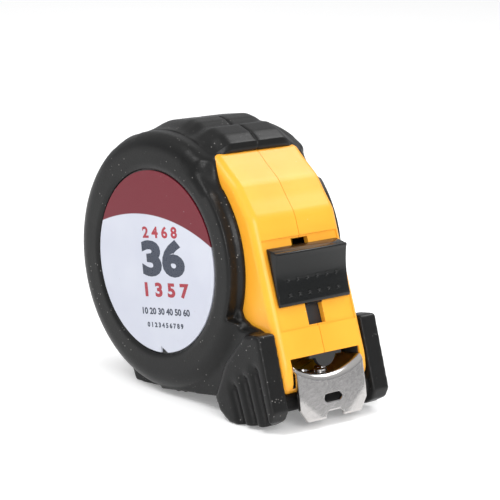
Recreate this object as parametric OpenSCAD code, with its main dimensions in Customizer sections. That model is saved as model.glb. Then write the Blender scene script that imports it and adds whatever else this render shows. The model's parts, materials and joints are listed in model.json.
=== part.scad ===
// Pocket tape measure: a two-part plastic case with a rubber grip moulded round
// it, a sprung drum of steel blade, an end hook, a thumb lock and a belt clip.
//
// Everything is drawn upright first: the drum turns about the Y axis through
// the origin, +X points out of the mouth, +Z is up and -Y is the right side.
// stand() then tips the tape back on to its heel and the rear of its two legs,
// as it stands on a bench, with the origin at the middle of its base.

/* [Blade] */
// Width of the steel blade
blade_w = 25; // [19:0.5:32]
// Length of the blade when it is all pulled out
blade_len = 7620; // [3000:10:8500]
// Thickness of one wound turn
turn_t = 0.11; // [0.08:0.01:0.12]
// Thickness of the straight stretch at the mouth
blade_t = 0.3; // [0.2:0.05:0.5]
// Radius of the hollow across the blade
cup_r = 24.7; // [20:0.1:60]
// Height of the blade's hollow face above the underside of the chin
blade_rise = 3.4; // [3:0.1:3.8]
// How far the straight stretch pulls out
pull = 30; // [10:1:32]

/* [Hook] */
// Thickness of the hook's steel
hook_t = 1; // [0.6:0.1:1.4]
// How far the hook's plate hangs below the blade's hollow face
hook_drop = 11.4; // [8:0.1:12]
// Forward lean of the hook's plate, in degrees
hook_lean = 3; // [0:0.5:6]
// Length of the leaf that is riveted to the blade
leaf_len = 11; // [9:0.5:13]
// Free play of the hook on its rivets
hook_play = 1; // [0.5:0.1:1.5]
// Gap between the hook at rest and the case
hook_gap = 0.2; // [0.1:0.05:0.6]
// Radius of a rivet's shank
rivet_r = 0.9; // [0.6:0.1:1.2]
// Radius of a rivet's head
rivet_head_r = 1.8; // [1.6:0.1:2.2]

/* [Drum] */
// Outer radius of the drum that the blade is wound on
core_r = 20.4; // [16:0.1:21]
// Wall of the drum
core_wall = 1.6; // [1:0.1:2.5]
// Thickness of each flange
flange_t = 1.2; // [0.8:0.1:2]
// How far the flanges reach past the full coil
flange_over = 1.6; // [0.8:0.1:1.8]
// Gap on each side of the blade and of the drum
side_play = 0.4; // [0.2:0.05:0.8]
// Radius of the fixed post that the drum turns on
post_r = 3.5; // [3:0.1:5]
// Running clearance of the drum on its post, on the radius
run_gap = 0.08; // [0.02:0.01:0.1]
// Width of the power spring
spring_w = 22; // [12:0.5:22]
// Thickness of the power spring
spring_t = 0.45; // [0.2:0.05:0.5]
// Number of turns of the power spring
spring_turns = 9; // [5:1:11]

/* [Case] */
// Radius of the round back, outside the rubber
shell_r = 38.4; // [38:0.1:46.5]
// Thickness of the rubber over the case
rubber_t = 2.2; // [1.5:0.1:2.6]
// Thickness of the case walls
wall = 2; // [1.4:0.1:2.2]
// Width of the case's lip on each side of the mouth
lobe_w = 3.1; // [2.8:0.1:5]
// Distance from the drum's running face to the inside of the side wall
side_room = 3.9; // [2:0.1:5]
// Reach of the nose past the round back's radius
nose_reach = 8.5; // [7.5:0.1:14]
// Height of the nose's corner above the underside of the chin
nose_rise = 7.4; // [6.5:0.1:8.4]
// Depth of the rubber under the chin, less than under the belly
chin_rise = 1; // [0.2:0.1:1.1]
// Radius of the chin's corner
chin_r = 4; // [2:0.1:4.5]
// Top of the mouth, above the underside of the chin
mouth_rise = 10; // [9.5:0.1:11]

/* [Grip] */
// Bottom of the legs, below the round back
leg_below = 6.8; // [5:0.1:12]
// Bottom of the heel, above the lowest point of the round back
heel_rise = 1.2; // [0:0.1:1.8]
// Distance of the heel behind the drum axis
heel_x = 22; // [18:0.1:24]
// Length of the legs, from their rear corner to the nose
leg_len = 18; // [15:0.1:20]
// Top of the legs, below the drum axis
leg_top_drop = 19.4; // [17:0.1:21]
// Reach of the legs past the nose
leg_reach = 1; // [0.2:0.1:1.1]
// Half width across the legs
leg_half_w = 22.4; // [21.8:0.1:26]
// Depth of the three grooves in each leg
groove_d = 0.9; // [0.3:0.1:1.5]
// Width of the three grooves in each leg
groove_w = 1.7; // [1:0.1:2.2]
// Depth of the flat that the legs and the heel stand on
foot_flat = 0.4; // [0.2:0.05:0.8]
// Radius of the round label
label_r = 26.6; // [20:0.1:27]
// Thickness of the label
label_t = 0.6; // [0.3:0.1:0.8]
// Height of the rubber ring round the label, above the case
ring_h = 1; // [0.8:0.1:2]
// Outer radius of the rubber ring beside the yellow window
ring_r = 33.6; // [32.5:0.1:34]

/* [Lock] */
// Travel of the thumb lock
lock_travel = 5.5; // [3:0.1:6]
// Half width of the thumb lock
button_half_w = 13.2; // [8:0.1:14]
// Height of the thumb lock's ridge above the front face
button_h = 4.2; // [2:0.1:5]
// Half width of the slot that the lock slides in
slot_half_w = 3.1; // [2:0.1:4]
// Gap between the sliding lock and what guides it
lock_gap = 0.3; // [0.15:0.05:0.5]
// Depth of the shallow panel round the lock
panel_d = 0.4; // [0.2:0.1:0.8]

/* [Belt clip] */
// Width of the belt clip
clip_w = 18; // [12:0.5:24]
// Thickness of the clip's steel
clip_t = 1.2; // [0.8:0.1:1.6]
// Gap for the belt
belt_gap = 4.8; // [4.4:0.1:7]
// Height of the clip's bend above the drum axis
clip_top = 22; // [14:0.5:24]
// Reach of the clip's tongue below the drum axis
clip_tip = 19; // [12:0.5:24]

/* [Screws] */
// Distance of the case screws in from the outside of the case's back
screw_inset = 2.8; // [2.6:0.1:3]
// Radius of a case screw's shank
screw_r = 1.2; // [0.9:0.1:1.4]
// Radius of a case screw's head
screw_head_r = 2.4; // [2:0.1:2.4]
// Length of a case screw under its head
screw_len = 26; // [20:0.5:28]

/* [Hidden] */
$fn = 64;
eps = 0.01;

// The drum and the widths that follow from it
coil_r = sqrt(core_r * core_r + blade_len * turn_t / PI);
flange_r = coil_r + flange_over;
flange_y = blade_w / 2 + side_play;
drum_y = flange_y + flange_t;
thrust_y = drum_y + side_play;
side_wall = wall + 0.2;
bulge_in_y = thrust_y + side_room;
bulge_y = bulge_in_y + side_wall;
bulge_r = flange_r + 0.5 + wall;
front_y = blade_w / 2 + side_play + lobe_w;
mouth_y = blade_w / 2 + side_play;
inner_y = front_y - wall;
label_y = bulge_y + label_t;
crest_y = bulge_y + ring_h;
boss_r = screw_r + 1.4;
case_r = shell_r - rubber_t;
screw_ring_r = case_r - screw_inset;

// The profile below the drum and at the nose
nose_x = shell_r + nose_reach;
chin_drop = shell_r - chin_rise;
nose_drop = chin_drop - nose_rise;
mouth_drop = chin_drop - mouth_rise;
blade_drop = chin_drop - blade_rise;
leg_drop = shell_r + leg_below;
heel_drop = shell_r - heel_rise;
leg_rear_x = nose_x - leg_len;

// The side view of the case and of the rubber, as angles round the drum axis
// and heights over the round back
window_top = 51;
window_low = -27.5;
brow = [[17.3, 2], [24.9, 1], [33.2, 1], [42.7, 0.15], [window_top, 0.6]];
crown = [[52, 2.9], [57.6, 3.5], [64.4, 3.3], [68.6, 1.6], [72.7, 2.6], [77.4, 2.8],
    [91.4, 1.8], [95.2, 1.3], [102, 0]];
screw_angles = [48, 132, 212, -46];

// The front face leans forward from the brow to the nose
brow_x = (shell_r + brow[0][1]) * cos(brow[0][0]);
brow_z = (shell_r + brow[0][1]) * sin(brow[0][0]);
lean = atan((nose_x - brow_x) / (brow_z + nose_drop));
face_x = brow_x + brow_z * tan(lean);
slot_top = 5.2;
slot_low = -19.5;

// The blade's path to the mouth
floor_z = -chin_drop + wall - 0.2;
bend_end = 12;
lead_end = nose_x + hook_gap;
leaf_r = cup_r - 0.1 - hook_t;
hook_x = nose_x + hook_gap;
hook_half_w = blade_w / 2;
plate_low = -blade_drop - hook_drop;

// The stance: the heel and the rear corners of the legs meet the bench
stance = atan((leg_drop - heel_drop) / (heel_x + leg_rear_x));
lift = leg_drop * cos(stance) - leg_rear_x * sin(stance) - foot_flat;
plate_front = hook_x + hook_t / cos(hook_lean) + hook_drop * tan(hook_lean);
reach_x = plate_front * cos(stance) - plate_low * sin(stance);
clip_out_y = label_y + clip_t + belt_gap + clip_t;
base_x = (reach_x - shell_r) / 2;
base_y = (clip_out_y - leg_half_w) / 2;

function polar(r, a) = [r * cos(a), r * sin(a)];
function arc(c, r, a0, a1, n) = [for (i = [0:n]) c + polar(r, a0 + (a1 - a0) * i / n)];
function edge_normal(a, b) = [a[1] - b[1], b[0] - a[0]] / norm(b - a);
function corner_inset(a, b, c, w) =
    let (n1 = edge_normal(a, b), n2 = edge_normal(b, c)) b + w * (n1 + n2) / (1 + n1 * n2);
function inset(p, w) = let (n = len(p))
    [for (i = [0:n - 1]) corner_inset(p[(i + n - 1) % n], p[i], p[(i + 1) % n], w)];

// Front part of the case, anticlockwise from under the drum
chin_c = [nose_x - chin_r, -chin_drop + chin_r];
case_front = concat(
    [[0, -case_r], [leg_rear_x - 4.9, -case_r], [leg_rear_x - 1.9, -chin_drop]],
    arc(chin_c, chin_r, -90, 0, 6),
    [[nose_x, -nose_drop]],
    [for (b = brow) polar(shell_r + b[1], b[0])],
    [[0, 0]]);

module stand() {
    translate([-base_x, -base_y, lift]) rotate([0, -stance, 0]) children();
}

// Turns a side-view outline into a slab between two distances from the middle,
// on the right side of the tape
module slab(y0, y1) {
    translate([0, -y0, 0]) rotate([90, 0, 0]) linear_extrude(y1 - y0) children();
}

// A round bar along Y between two places, about a point of the side view
module bar(r, y0, y1, at = [0, 0]) {
    translate([at[0], y1, at[1]]) rotate([90, 0, 0]) cylinder(r = r, h = y1 - y0);
}

module tube(r_out, r_in, y0, y1, at = [0, 0]) {
    difference() {
        bar(r_out, y0, y1, at);
        bar(r_in, y0 - 1, y1 + 1, at);
    }
}

module other_side() {
    mirror([0, 1, 0]) children();
}

// Places children on the leaning front face: +X out of it, +Z up along it
module on_front() {
    translate([face_x, 0, 0]) rotate([0, -lean, 0]) children();
}

module case_outline() {
    circle(r = case_r, $fn = 96);
    polygon(case_front);
}

module case_hollow() {
    circle(r = case_r - wall, $fn = 96);
    polygon(inset(case_front, wall));
    // channel that keeps the floor clear of the blade
    translate([bend_end - 8, -blade_drop - blade_t - 0.5]) square([leg_rear_x - bend_end + 6, 6]);
}

module screw_places() {
    for (a = screw_angles) let (p = polar(screw_ring_r, a))
        translate([p[0], 0, p[1]]) children();
}

// One half of the case, on the right side: walls, drum boss and screw bosses
module case_half() {
    difference() {
        union() {
            difference() {
                union() {
                    slab(0, front_y) case_outline();
                    bar(bulge_r, -bulge_y, -front_y + eps);
                }
                slab(-1, inner_y) case_hollow();
                bar(bulge_r - wall, -bulge_in_y, 0);
            }
            tube(post_r + 3, post_r, -bulge_in_y - eps, -thrust_y);
            screw_places() bar(boss_r, -inner_y - eps, 0);
        }
        // mouth
        translate([nose_x - 8, -mouth_y, floor_z]) cube([20, mouth_y + 1, -floor_z - mouth_drop]);
        // slot and shallow panel for the thumb lock
        on_front() translate([-wall - 2, -slot_half_w, slot_low])
            cube([wall + 4, slot_half_w + 1, slot_top - slot_low]);
        on_front() translate([-panel_d, -button_half_w - 0.8, slot_low - 0.6])
            cube([5, button_half_w + 2, slot_top - slot_low + 1.2]);
    }
}

module case_right() {
    color([0.98, 0.72, 0.14]) difference() {
        stand() case_half();
        stand() screw_places() bar(screw_r, -(screw_len - front_y), 1);
        // pocket and hole for the screw that holds the post
        stand() bar(post_r + 0.5, -bulge_y - 1, -bulge_y + 1);
        stand() bar(screw_r + 0.4, -bulge_y - 1, -bulge_in_y + 1);
    }
}

module case_left() {
    color([0.98, 0.72, 0.14]) difference() {
        stand() other_side() case_half();
        stand() screw_places() bar(screw_r + 0.3, -1, front_y + 1);
        stand() bar(screw_r + 0.4, bulge_in_y - 1, bulge_y + 1);
    }
}

// Outline of the rubber between the sides: round back, crown, heel and chin
module grip_outline() {
    circle(r = shell_r, $fn = 96);
    polygon(concat([[0, 0]], [for (c = crown) polar(shell_r + c[1], c[0])]));
    polygon([[-heel_x - 1.6, -heel_drop + 5], [-heel_x, -heel_drop], [-4, -shell_r],
        [leg_rear_x - 8.9, -shell_r], [leg_rear_x - 2.9, -chin_drop - 1.8],
        [nose_x - 9, -chin_drop - 1.8],
        [nose_x - 7.6, -chin_drop - 4.6], [nose_x - 2, -chin_drop - 4.6],
        [nose_x - 1.4, -chin_drop - 1], [nose_x - 2.4, -chin_drop + 1], [0, 0]]);
}

// The yellow window: the front that the rubber leaves bare
module window_outline() {
    difference() {
        polygon([[0, 0], polar(90, window_low), [90, 0], polar(90, window_top)]);
        circle(r = ring_r, $fn = 96);
    }
}

module ring_profile() {
    rotate([90, 0, 0]) rotate_extrude($fn = 96) polygon(concat(
        [[ring_r - 4, front_y], [ring_r - 4, bulge_y], [label_r + 0.3, bulge_y],
         [label_r + 0.3, crest_y - 0.5], [label_r + 1.6, crest_y]],
        [for (p = arc([0, 0], 1, 90, 0, 7))
            [ring_r - 0.8 + (shell_r - ring_r + 0.8) * p[0], front_y + (crest_y - front_y) * p[1]]]));
}

// Front leg beside the chin, in side view
leg_front_x = nose_x + leg_reach;
leg_outline = [[leg_rear_x - 5.4, -leg_drop + 7.6], [leg_rear_x - 4.4, -leg_drop + 3.6],
    [leg_rear_x, -leg_drop], [leg_front_x - 5, -leg_drop], [leg_front_x - 1.6, -leg_drop + 1.4],
    [leg_front_x, -leg_drop + 4.2], [leg_front_x - 0.8, -leg_drop + 9],
    [leg_front_x - 3.4, -leg_top_drop], [leg_front_x - 9.5, -leg_top_drop],
    [leg_rear_x, -leg_top_drop - 8.6]];

module leg_grooves() {
    for (i = [0:2]) let (x = leg_rear_x + 1.8 + 4.9 * i, z = -leg_drop + 10.9 + 2.7 * i)
        translate([x, -leg_half_w + groove_d - 3, z]) rotate([0, -14 + 1.5 * i, 0])
            translate([0, 0, -22]) cube([groove_w, 3, 22]);
}

// One half of the rubber grip, on the right side
module grip_half() {
    difference() {
        union() {
            slab(0, front_y) grip_outline();
            ring_profile();
            slab(front_y, front_y + 3.4) polygon([[-6, -shell_r + 0.5],
                [leg_rear_x - 4.9, -shell_r], [leg_rear_x + 7.1, -leg_drop + 2],
                [leg_rear_x + 11.1, -leg_top_drop], [leg_rear_x + 1.1, -leg_top_drop + 1.4]]);
            slab(front_y, leg_half_w) polygon(leg_outline);
        }
        slab(-1, front_y) case_outline();
        bar(bulge_r, -bulge_y, 1);
        bar(label_r + 0.3, -crest_y - 1, 1);
        slab(front_y, crest_y + 2) difference() {
            window_outline();
            polygon(leg_outline);
        }
        translate([nose_x - 8, -mouth_y, floor_z]) cube([20, mouth_y + 1, -floor_z - mouth_drop]);
        leg_grooves();
    }
}

module bench_cut() {
    difference() {
        children();
        translate([-100, -100, -50]) cube([200, 200, 50]);
    }
}

module grip_right() {
    color([0.17, 0.17, 0.17]) bench_cut() stand() grip_half();
}

module grip_left() {
    color([0.17, 0.17, 0.17]) difference() {
        bench_cut() stand() other_side() grip_half();
        stand() screw_places() bar(screw_head_r + 0.5, front_y, crest_y + 3);
    }
}

module label_right() {
    color([0.82, 0.83, 0.87]) difference() {
        stand() bar(label_r, -label_y, -bulge_y);
        stand() translate([0, 0, -label_r]) rotate([90, 0, 0]) cylinder(r = 2.2, h = 60, $fn = 3);
    }
}

module label_left() {
    color([0.82, 0.83, 0.87]) stand() tube(label_r, screw_r + 0.6, bulge_y, label_y);
}

// Fixed post between the two side walls, slotted for the end of the spring
module spindle_post() {
    color([0.72, 0.73, 0.75]) stand() difference() {
        bar(post_r, -bulge_in_y, bulge_in_y);
        translate([-spring_t, -spring_w / 2 - 1, 0]) cube([2 * spring_t, spring_w + 2, post_r + 1]);
        bar(screw_r + 0.02, -bulge_in_y - 1, -spring_w / 2 - 1.5);
        bar(screw_r + 0.02, spring_w / 2 + 1.5, bulge_in_y + 1);
    }
}

module spindle_screw() {
    color([0.62, 0.62, 0.65]) stand() difference() {
        union() {
            bar(post_r, -bulge_y, -bulge_y + 1);
            bar(screw_r, -bulge_y + 0.9, -spring_w / 2 - 2);
        }
        translate([-2, -bulge_y - 1, -0.4]) cube([4, 1.5, 0.8]);
    }
}

// Drum: core, right flange and hub; its cover is the left flange
module drum() {
    color([0.2, 0.2, 0.22]) stand() difference() {
        union() {
            bar(flange_r, -drum_y, -flange_y);
            tube(core_r, core_r - core_wall, -drum_y, flange_y);
            bar(post_r + 2, -drum_y, -spring_w / 2 - 0.3);
        }
        bar(post_r + run_gap, -drum_y - 1, drum_y);
    }
}

module drum_cover() {
    color([0.25, 0.25, 0.27]) stand() difference() {
        union() {
            bar(flange_r, flange_y, drum_y);
            bar(post_r + 2, spring_w / 2 + 0.3, drum_y);
            tube(core_r - core_wall - 0.1, core_r - core_wall - 1.1, spring_w / 2 + 0.3, flange_y + eps);
        }
        bar(post_r + run_gap, 0, drum_y + 1);
    }
}

// Power spring: its turns lie against the drum's wall and its inner end comes
// in to the post
spring_out = core_r - core_wall - 0.1;
spring_pitch = 2 * spring_t;
spring_pack = spring_out - spring_turns * spring_pitch;
spring_in = post_r + 0.3 + spring_t;
function spring_radius(a) = a <= 360 * spring_turns
    ? spring_out - spring_pitch * a / 360
    : spring_pack - (spring_pack - spring_in) * (a - 360 * spring_turns) / 360;

module power_spring() {
    last = 360 * (spring_turns + 1);
    outer = [for (a = [0:12:last]) polar(spring_radius(a), a)];
    inner = [for (a = [last:-12:0]) polar(spring_radius(a) - spring_t, a)];
    color([0.45, 0.46, 0.5]) stand() translate([0, spring_w / 2, 0]) rotate([90, 0, 0])
        linear_extrude(spring_w) polygon(concat(outer, inner));
}

module blade_coil() {
    color([0.95, 0.83, 0.2]) stand() tube(coil_r, core_r, -blade_w / 2, blade_w / 2);
}

// Section of the blade's hollow: the cross-section of a layer of steel whose
// hollow face lies d under the blade's hollow face
module cupped(x0, x1, d, t) {
    intersection() {
        translate([x0, 0, -blade_drop + cup_r]) rotate([0, 90, 0]) difference() {
            cylinder(r = cup_r + d + t, h = x1 - x0, $fn = 128);
            translate([0, 0, -1]) cylinder(r = cup_r + d, h = x1 - x0 + 2, $fn = 128);
        }
        translate([x0, -blade_w / 2, -blade_drop - 6]) cube([x1 - x0, blade_w, 16]);
    }
}

// Stretch between the coil and the straight part, which goes from flat to
// hollow as it comes down to the mouth
bend_steps = 8;
bend_across = 10;
function ease(t) = t * t * (3 - 2 * t);
function bend_z(t) = -coil_r - 0.3 - (blade_drop - coil_r - 0.3) * ease(t);
function bend_sag(t, y) = ease(t) * (cup_r - sqrt(cup_r * cup_r - y * y));
function bend_row(t, d) = [for (j = [0:bend_across])
    let (y = -blade_w / 2 + blade_w * j / bend_across)
    [bend_end * t, y, bend_z(t) + bend_sag(t, y) - d]];

module blade_bend() {
    rows = [for (i = [0:bend_steps]) concat(bend_row(i / bend_steps, 0),
        [for (j = [bend_across:-1:0]) bend_row(i / bend_steps, blade_t)[j]])];
    m = 2 * (bend_across + 1);
    sides = [for (i = [0:bend_steps - 1], j = [0:m - 1])
        [i * m + j, (i + 1) * m + j, (i + 1) * m + (j + 1) % m, i * m + (j + 1) % m]];
    halves = [for (f = sides) each [[f[0], f[1], f[2]], [f[0], f[2], f[3]]]];
    ends = [for (j = [0:bend_across - 1])
        each [[j, j + 1, m - 2 - j], [j, m - 2 - j, m - 1 - j]]];
    far = [for (f = ends) [f[2], f[1], f[0]] + bend_steps * m * [1, 1, 1]];
    color([0.95, 0.83, 0.2]) stand()
        polyhedron([for (r = rows) each r], concat(halves, ends, far));
}

rivet_places = [[lead_end - 7, -3.6], [lead_end - 7, 3.6], [lead_end - 3.6, 0]];
function cup_z(y) = -blade_drop + cup_r - sqrt(cup_r * cup_r - y * y);

module rivet_axes() {
    for (p = rivet_places) translate([p[0], p[1], cup_z(p[1])])
        rotate([asin(p[1] / cup_r), 0, 0]) children();
}

module blade_lead() {
    color([0.95, 0.83, 0.2]) stand() difference() {
        cupped(bend_end + 0.2, lead_end - 0.6, 0, blade_t);
        rivet_axes() translate([0, 0, -2]) cylinder(r = rivet_r + 0.02, h = 4);
    }
}

module hook_rivets() {
    color([0.7, 0.7, 0.72]) stand() rivet_axes() {
        translate([0, 0, -blade_t - 0.75]) cylinder(r = rivet_head_r, h = 0.5);
        translate([0, 0, -blade_t - 0.3]) cylinder(r = rivet_r, h = blade_t + hook_t + 0.6);
        translate([0, 0, hook_t + 0.25]) cylinder(r = rivet_head_r, h = 0.5);
    }
}

// Outline of the hook's plate, seen from the front, with a notch at its foot
module plate_outline() {
    w = hook_half_w;
    low = plate_low;
    difference() {
        polygon([[-w, -blade_drop + 4], [-w + 0.5, low + 2.2], [-w + 2, low], [-3.6, low],
            [-2.2, low + 1.9], [2.2, low + 1.9], [3.6, low], [w - 2, low],
            [w - 0.5, low + 2.2], [w, -blade_drop + 4]]);
        for (s = [-1, 1]) translate([s * 2.2, low + 5.6]) circle(r = 1.2, $fn = 32);
        translate([-2.2, low + 4.4]) square([4.4, 2.4]);
    }
}

// End hook: a plate in front of the mouth and a leaf that lies in the blade
module end_hook() {
    color([0.76, 0.75, 0.74]) stand() difference() {
        union() {
            difference() {
                cupped(hook_x - leaf_len, hook_x + hook_t, -0.1 - hook_t, hook_t);
                rivet_axes() {
                    for (k = [-0.15, hook_play + 0.15])
                        translate([-k, 0, -2]) cylinder(r = rivet_r + 0.15, h = 8);
                    translate([-hook_play / 2 - 0.15, -rivet_r - 0.15, -2])
                        cube([hook_play + 0.3, 2 * rivet_r + 0.3, 8]);
                }
                translate([hook_x - leaf_len - 1, 0, -blade_drop - 2]) {
                    for (s = [-1, 1]) scale([1, s, 1])
                        translate([0, 6, 0]) rotate([0, 0, 34]) cube([12, 12, 12]);
                }
            }
            intersection() {
                translate([hook_x, 0, -blade_drop]) rotate([0, -hook_lean, 0])
                    translate([0, 0, blade_drop]) rotate([90, 0, 90])
                        linear_extrude(hook_t) plate_outline();
                translate([hook_x - 5, -20, -60]) cube([20, 40, 60]);
            }
        }
        translate([hook_x - 20, 0, -blade_drop + cup_r]) rotate([0, 90, 0])
            cylinder(r = leaf_r, h = 40, $fn = 128);
    }
}

// Rubber stop in the roof of the mouth, with a rounded tongue in the middle
module hook_bumper() {
    x0 = nose_x - 1.75;
    color([0.12, 0.12, 0.12]) stand() translate([x0, 0, 0]) rotate([90, 0, 90]) linear_extrude(1.3)
        difference() {
            union() {
                translate([-6, -mouth_drop - 0.9]) square([12, 0.9]);
                translate([0, -mouth_drop]) circle(r = 3.8);
            }
            translate([-20, -mouth_drop]) square([40, 10]);
        }
}

// Saddle under the blade, on the floor of the case
module blade_guide() {
    color([0.15, 0.15, 0.16]) stand() difference() {
        translate([nose_x - 7.9, -mouth_y, floor_z])
            cube([5.4, 2 * mouth_y, -floor_z - blade_drop + 3]);
        translate([nose_x - 20, 0, -blade_drop + cup_r]) rotate([0, 90, 0])
            cylinder(r = cup_r + blade_t + 0.9, h = 30, $fn = 128);
    }
}

// The thumb lock, in side view on the front face
button_low = -13.4;
button_top = 3.4;
neck_low = slot_low + lock_travel + 0.2;
neck_top = 3;
plate_u = -wall - lock_gap;
carrier_t = 1.8;
shoe_w = -22.3;

module lock_button() {
    color([0.18, 0.18, 0.19]) stand() on_front() difference() {
        union() {
            translate([0, button_half_w, 0]) rotate([90, 0, 0]) linear_extrude(2 * button_half_w)
                polygon(concat([[0.1, button_low], [0.9, button_low], [1.2, button_low + 0.8]],
                    [for (t = [0.15:0.17:0.84]) [1.2 + (button_h - 1.2) * pow(t, 2.4),
                        button_low + 0.8 + (15 - 0.8) * t]],
                    [[button_h, button_low + 15], [button_h - 0.6, button_top - 0.8],
                    [0.1, button_top]]));
            translate([plate_u, -slot_half_w + lock_gap, neck_low])
                cube([-plate_u + 0.2, 2 * (slot_half_w - lock_gap), neck_top - neck_low]);
        }
        for (i = [-2.5:2.5], z = [-6.4, -10.6])
            translate([0.9, i * 3.6, z]) rotate([0, 90, 0]) cylinder(r = 0.55, h = 4, $fn = 24);
        translate([-10, 0, -4]) rotate([0, 90, 0]) cylinder(r = screw_r - 0.2, h = 12.6 + plate_u);
    }
}

// Slide behind the front wall, screwed to the thumb lock through the slot
module lock_carrier() {
    color([0.3, 0.3, 0.32]) stand() on_front() difference() {
        union() {
            translate([plate_u - carrier_t, -8, -14]) cube([carrier_t, 16, 17]);
            translate([plate_u - carrier_t, -4.2, shoe_w]) cube([carrier_t, 8.4, -13 - shoe_w]);
        }
        translate([-10, 0, -4]) rotate([0, 90, 0]) cylinder(r = screw_r, h = 20);
    }
}

module lock_screw() {
    color([0.6, 0.6, 0.62]) stand() on_front() {
        translate([plate_u - carrier_t - 0.9, 0, -4]) rotate([0, 90, 0]) cylinder(r = 2.2, h = 0.9);
        translate([plate_u - carrier_t - 0.2, 0, -4]) rotate([0, 90, 0])
            cylinder(r = screw_r - 0.22, h = carrier_t + 2.4);
    }
}

// Rubber shoe that the slide brings down on the blade
module brake_shoe() {
    color([0.1, 0.1, 0.1]) stand() on_front() translate([plate_u - carrier_t, 0, shoe_w])
        rotate([0, 90, 0]) difference() {
            cylinder(r = 3.8, h = carrier_t);
            translate([-10, -10, -1]) cube([10, 20, 10]);
        }
}

// Leaf across the case that presses on the slide
module lock_spring() {
    color([0.65, 0.66, 0.68]) stand() on_front() translate([plate_u - carrier_t, 0, -16])
        linear_extrude(3) polygon([[-2.4, -inner_y], [-1.9, -inner_y], [-0.3, -2.5], [-0.3, 2.5],
            [-1.9, inner_y], [-2.4, inner_y], [-0.8, 2.7], [-0.8, -2.7]]);
}

// Belt clip on the left side: a foot under the centre screw, a bend at the top
// and a tongue that comes down outside the belt
module belt_clip() {
    y0 = label_y;
    y1 = y0 + clip_t;
    y2 = y1 + belt_gap;
    r = belt_gap / 2;
    lip = 4;
    color([0.2, 0.2, 0.21]) stand() difference() {
        translate([-clip_w / 2, 0, 0]) rotate([90, 0, 90]) linear_extrude(clip_w) {
            translate([y0, -9]) square([clip_t, clip_top + 9]);
            translate([y2, -clip_tip + lip]) square([clip_t, clip_top + clip_tip - lip]);
            intersection() {
                translate([y1 + r, clip_top]) difference() {
                    circle(r = r + clip_t);
                    circle(r = r);
                }
                translate([y0 - 1, clip_top]) square([20, 20]);
            }
            polygon([[y2, -clip_tip + lip], [y2 - 1.8, -clip_tip + 1.6], [y2 - 1.2, -clip_tip],
                [y2, -clip_tip], [y2 + clip_t, -clip_tip + lip - 0.6], [y2 + clip_t, -clip_tip + lip]]);
        }
        bar(screw_r + 0.3, 0, y1 + 0.5);
        bar(screw_r + 3.2, y1 + 0.5, y2 + 10);
    }
}

module belt_clip_screw() {
    y1 = label_y + clip_t;
    color([0.6, 0.6, 0.62]) stand() difference() {
        union() {
            bar(screw_r, spring_w / 2 + 2, y1 + 0.2);
            bar(screw_r + 2, y1, y1 + 1.6);
        }
        for (a = [0, 90]) translate([0, y1 + 1.2, 0]) rotate([0, a, 0])
            translate([-1.8, 0, -0.4]) cube([3.6, 1, 0.8]);
    }
}

module case_screws() {
    color([0.6, 0.6, 0.62]) stand() screw_places() difference() {
        union() {
            bar(screw_r - 0.02, -(screw_len - front_y) + 0.3, front_y + 0.2);
            bar(screw_head_r, front_y, front_y + 1.4);
        }
        for (a = [0, 90]) translate([0, front_y + 1, 0]) rotate([0, a, 0])
            translate([-1.5, 0, -0.35]) cube([3, 1, 0.7]);
    }
}

case_right();
case_left();
grip_right();
grip_left();
label_right();
label_left();
spindle_post();
spindle_screw();
drum();
drum_cover();
power_spring();
blade_coil();
blade_bend();
blade_lead();
end_hook();
hook_rivets();
hook_bumper();
blade_guide();
lock_button();
lock_screw();
lock_carrier();
brake_shoe();
lock_spring();
belt_clip();
belt_clip_screw();
case_screws();
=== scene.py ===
# %% [markdown]
# A pocket tape measure stands on its rubber feet. The frame that holds it all
# comes in ready made: the drum, the blade, the springs and the screws are the
# real parts, and each moves with its own body. This lesson dresses that frame.
# The moulded case, the rubber grip, the thumb lock and the hook are modelled
# at their true size, and every surface gets a finish of its own.

import math

import bmesh
import bpy
from mathutils import Matrix, Vector
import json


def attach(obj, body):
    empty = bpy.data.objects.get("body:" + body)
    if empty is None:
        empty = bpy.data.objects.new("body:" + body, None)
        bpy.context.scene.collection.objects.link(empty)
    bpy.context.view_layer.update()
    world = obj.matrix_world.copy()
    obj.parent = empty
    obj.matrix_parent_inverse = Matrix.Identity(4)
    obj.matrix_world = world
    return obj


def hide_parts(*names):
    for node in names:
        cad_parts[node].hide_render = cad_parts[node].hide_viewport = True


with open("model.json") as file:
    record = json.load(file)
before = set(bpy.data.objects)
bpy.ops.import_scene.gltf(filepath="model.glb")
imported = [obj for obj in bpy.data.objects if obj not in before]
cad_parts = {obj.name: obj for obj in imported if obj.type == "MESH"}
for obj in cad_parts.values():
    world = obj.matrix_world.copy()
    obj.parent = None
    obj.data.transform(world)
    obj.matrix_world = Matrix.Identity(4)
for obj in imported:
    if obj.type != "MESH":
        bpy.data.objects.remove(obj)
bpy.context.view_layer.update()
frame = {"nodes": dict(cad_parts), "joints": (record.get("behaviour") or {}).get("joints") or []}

# %% [markdown]
# The tape leans back a little on its feet, but a maker draws it upright. So
# every new piece is drawn upright, with the drum's axis at the origin, x
# toward the mouth and z up, in millimetres. One matrix then sets it down in
# the frame. The lean comes from the way that the blade slides.

# %% From the drawing to the frame
MM = 0.001
joints = {joint["name"]: joint for joint in frame["joints"]}
drum_at = Vector(joints["drum_spin"]["pos_m"])
blade_way = Vector(joints["blade_pull"]["axis"])
stance = math.atan2(blade_way.z, blade_way.x)
to_axis = Matrix.Translation(Vector((drum_at.x, -3 * MM, drum_at.z)))
to_frame = to_axis @ Matrix.Rotation(-stance, 4, "Y")
print("stance in degrees", math.degrees(stance), "drum axis", drum_at)


def polar(radius, degrees):
    turn = math.radians(degrees)
    return (radius * math.cos(turn), radius * math.sin(turn))


def deselect():
    bpy.ops.object.select_all(action="DESELECT")


def pick(piece):
    deselect()
    piece.select_set(True)
    bpy.context.view_layer.objects.active = piece


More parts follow.
